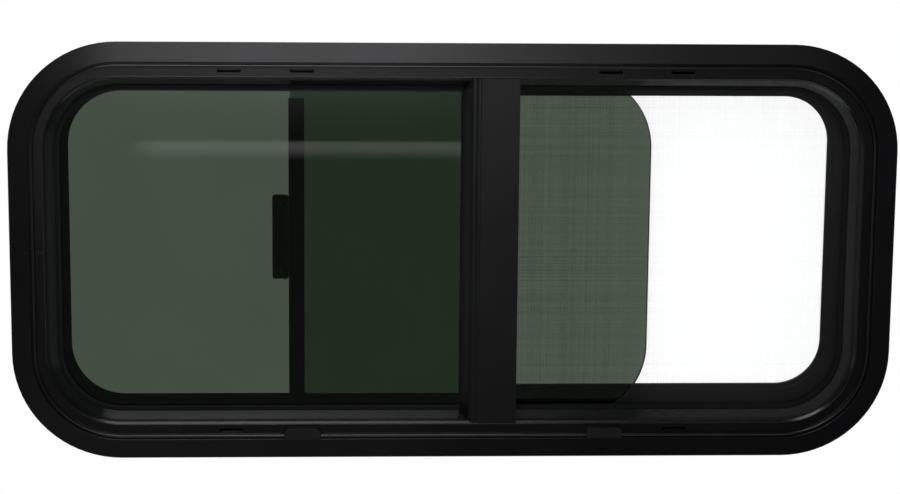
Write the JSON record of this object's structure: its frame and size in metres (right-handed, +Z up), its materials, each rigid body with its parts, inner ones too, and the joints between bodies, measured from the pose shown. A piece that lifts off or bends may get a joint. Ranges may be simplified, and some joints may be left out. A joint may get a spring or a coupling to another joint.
{
  "type": "half-sliding caravan window",
  "caption": "Black framed caravan window with a fixed tinted pane, a sliding pane with latch beside it and a fly screen, clamped through the wall.",
  "frame": {"origin": "centre of the window on the plane where its outer flange rests on the wall's outer face", "axes": "+Z up, +Y into the room, +X to the right seen from outside"},
  "size_m": [0.952, 0.0665, 0.452],
  "materials": {
    "frame_black": "satin black powder coat on aluminium",
    "bare_aluminium": "mill finish",
    "seal_rubber": "matt black rubber",
    "brush_pile": "black brush pile",
    "tinted_glass": "green-grey tinted safety glass",
    "cap_plastic": "moulded black plastic",
    "rail_plastic": "slick black plastic",
    "latch_plastic": "moulded black plastic, half gloss",
    "screen_plastic": "moulded black plastic",
    "screen_net": "fine grey fly net",
    "screw_steel": "zinc plated"
  },
  "bodies": {
    "root": {"outer_frame": "frame_black", "flange_seal": "seal_rubber", "mullion": "frame_black", "mullion_bead": "frame_black", "mullion_bracket_top": "bare_aluminium", "mullion_bracket_bottom": "bare_aluminium", "mullion_brush_seal": "brush_pile", "fixed_glass": "tinted_glass", "fixed_glass_gasket": "seal_rubber", "glass_setting_blocks": "seal_rubber", "drain_cap_left": "cap_plastic", "drain_cap_right": "cap_plastic", "vent_weather_seal": "seal_rubber", "top_glide_rail": "rail_plastic", "bottom_glide_rail": "rail_plastic", "top_brush_seal": "brush_pile", "bottom_brush_seal": "brush_pile", "end_brush_seal": "brush_pile", "slider_stop_left": "seal_rubber", "slider_stop_right": "seal_rubber", "sliding_glass": "tinted_glass", "slider_stile": "cap_plastic", "slider_glides": "rail_plastic", "latch_body": "latch_plastic", "latch_lever": "latch_plastic", "latch_screws": "screw_steel", "latch_keeper": "screw_steel", "screen_frame": "screen_plastic", "screen_net": "screen_net", "screen_spline": "seal_rubber", "screen_pull": "latch_plastic", "clamp_ring": "frame_black", "clamp_ring_screws": "screw_steel"}
  },
  "joints": []
}
